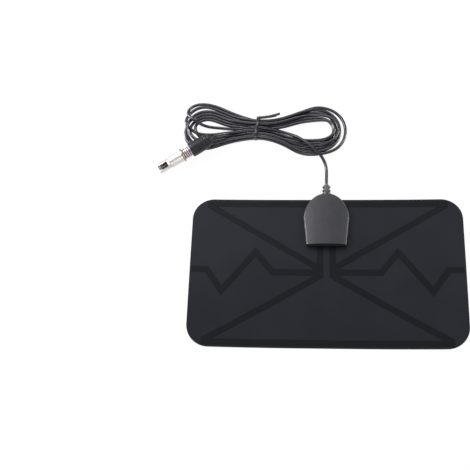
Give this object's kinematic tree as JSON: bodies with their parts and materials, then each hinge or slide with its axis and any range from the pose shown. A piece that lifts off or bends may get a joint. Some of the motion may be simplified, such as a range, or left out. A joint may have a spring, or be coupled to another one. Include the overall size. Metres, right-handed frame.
{
  "type": "indoor television antenna",
  "caption": "Flat film television aerial with a foil pattern, a small domed feed pod on its upper edge, and a thin coaxial lead in a tied hank that ends in a push-on aerial plug.",
  "frame": {"origin": "centre of the film, pod and strain relief seen from above, at the height of the pod's flat back", "axes": "+X along the film's long side, +Y towards the lead, +Z out of the film's front face"},
  "size_m": [0.2766, 0.2328, 0.0153],
  "materials": {
    "film_front": "satin printed film with fine grain",
    "foil": "bright foil",
    "film_back": "satin film",
    "pod_grey": "fine spark-eroded texture",
    "pod_back_grey": "fine texture",
    "board_green": "solder mask",
    "brass": "plain",
    "ferrite": "matt sintered",
    "enamelled_copper": "enamelled wire",
    "chip_ceramic": "ceramic",
    "solder": "soft solder",
    "relief_grey": "soft satin",
    "cable_black": "satin jacket",
    "braid": "tinned braid",
    "white_insulation": "waxy",
    "copper": "bare copper",
    "tie_black": "plastic-covered wire",
    "boot_black": "moulded satin",
    "nickel": "nickel plate",
    "pin_plate": "plated"
  },
  "bodies": {
    "root": {"front_film": "film_front", "antenna_element": "foil", "back_film": "film_back", "pod_cover": "pod_grey", "pod_base": "pod_back_grey", "circuit_board": "board_green", "contact_rivets": "brass", "balun_core": "ferrite", "balun_windings": "enamelled_copper", "chip_components": "chip_ceramic", "solder_joints": "solder", "strain_relief": "relief_grey", "cable_entry": "cable_black", "coax_braid": "braid", "coax_dielectric": "white_insulation", "coax_conductor": "copper", "cable_lead": "cable_black", "cable_hank": "cable_black", "twist_tie": "tie_black", "plug_boot": "boot_black", "plug_body": "nickel", "plug_shell": "nickel", "plug_insulator": "white_insulation", "plug_pin": "pin_plate"}
  },
  "joints": []
}
